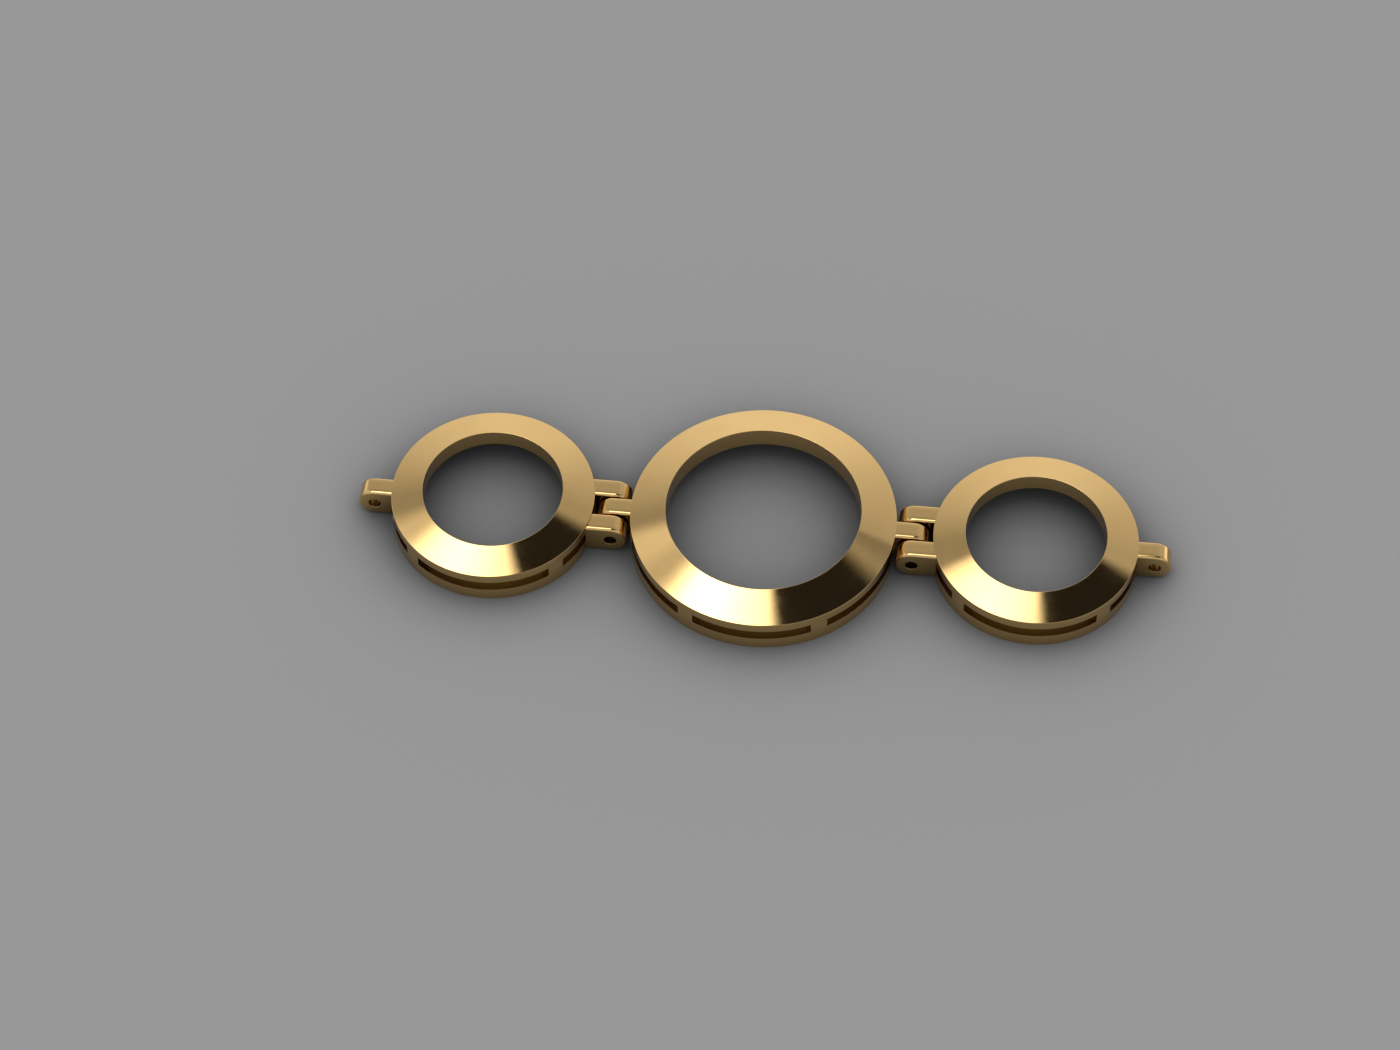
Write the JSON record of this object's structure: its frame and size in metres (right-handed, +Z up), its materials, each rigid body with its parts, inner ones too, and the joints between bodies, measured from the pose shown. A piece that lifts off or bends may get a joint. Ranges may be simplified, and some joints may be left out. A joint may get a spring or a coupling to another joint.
{
  "type": "hinged bezel link",
  "caption": "Jewellery link: a large open round bezel hinged between smaller ones in a flat row, with pierced galleries and a drilled lug at each end.",
  "frame": {"origin": "on the table, under the centre of the middle bezel", "axes": "+X runs along the row of bezels, +Y runs across the row along the hinge pins, +Z is up, out of the bevelled faces"},
  "size_m": [0.0736, 0.024, 0.0044],
  "materials": {
    "bezel_gold": "satin polished yellow gold",
    "gallery_gold": "satin yellow gold",
    "knuckle_gold": "satin polished yellow gold with bright edges",
    "pin_metal": "drawn wire, cut ends"
  },
  "bodies": {
    "middle": {"middle_bezel_plate": "bezel_gold", "middle_gallery": "gallery_gold", "left_hinge_tongue": "knuckle_gold", "right_hinge_tongue": "knuckle_gold"},
    "left": {"left_bezel_plate": "bezel_gold", "left_gallery": "gallery_gold", "left_front_ear": "knuckle_gold", "left_back_ear": "knuckle_gold", "left_end_lug": "knuckle_gold", "left_hinge_pin": "pin_metal"},
    "right": {"right_bezel_plate": "bezel_gold", "right_gallery": "gallery_gold", "right_front_ear": "knuckle_gold", "right_back_ear": "knuckle_gold", "right_end_lug": "knuckle_gold", "right_hinge_pin": "pin_metal"}
  },
  "joints": [
    {"name": "left_hinge", "type": "hinge", "parent": "middle", "child": "left", "pos_m": [-0.0136, 0, 0.0016], "axis": [0, 1, 0], "range_deg": [-90, 88]},
    {"name": "right_hinge", "type": "hinge", "parent": "middle", "child": "right", "pos_m": [0.0136, 0, 0.0016], "axis": [0, -1, 0], "range_deg": [-90, 88]}
  ]
}
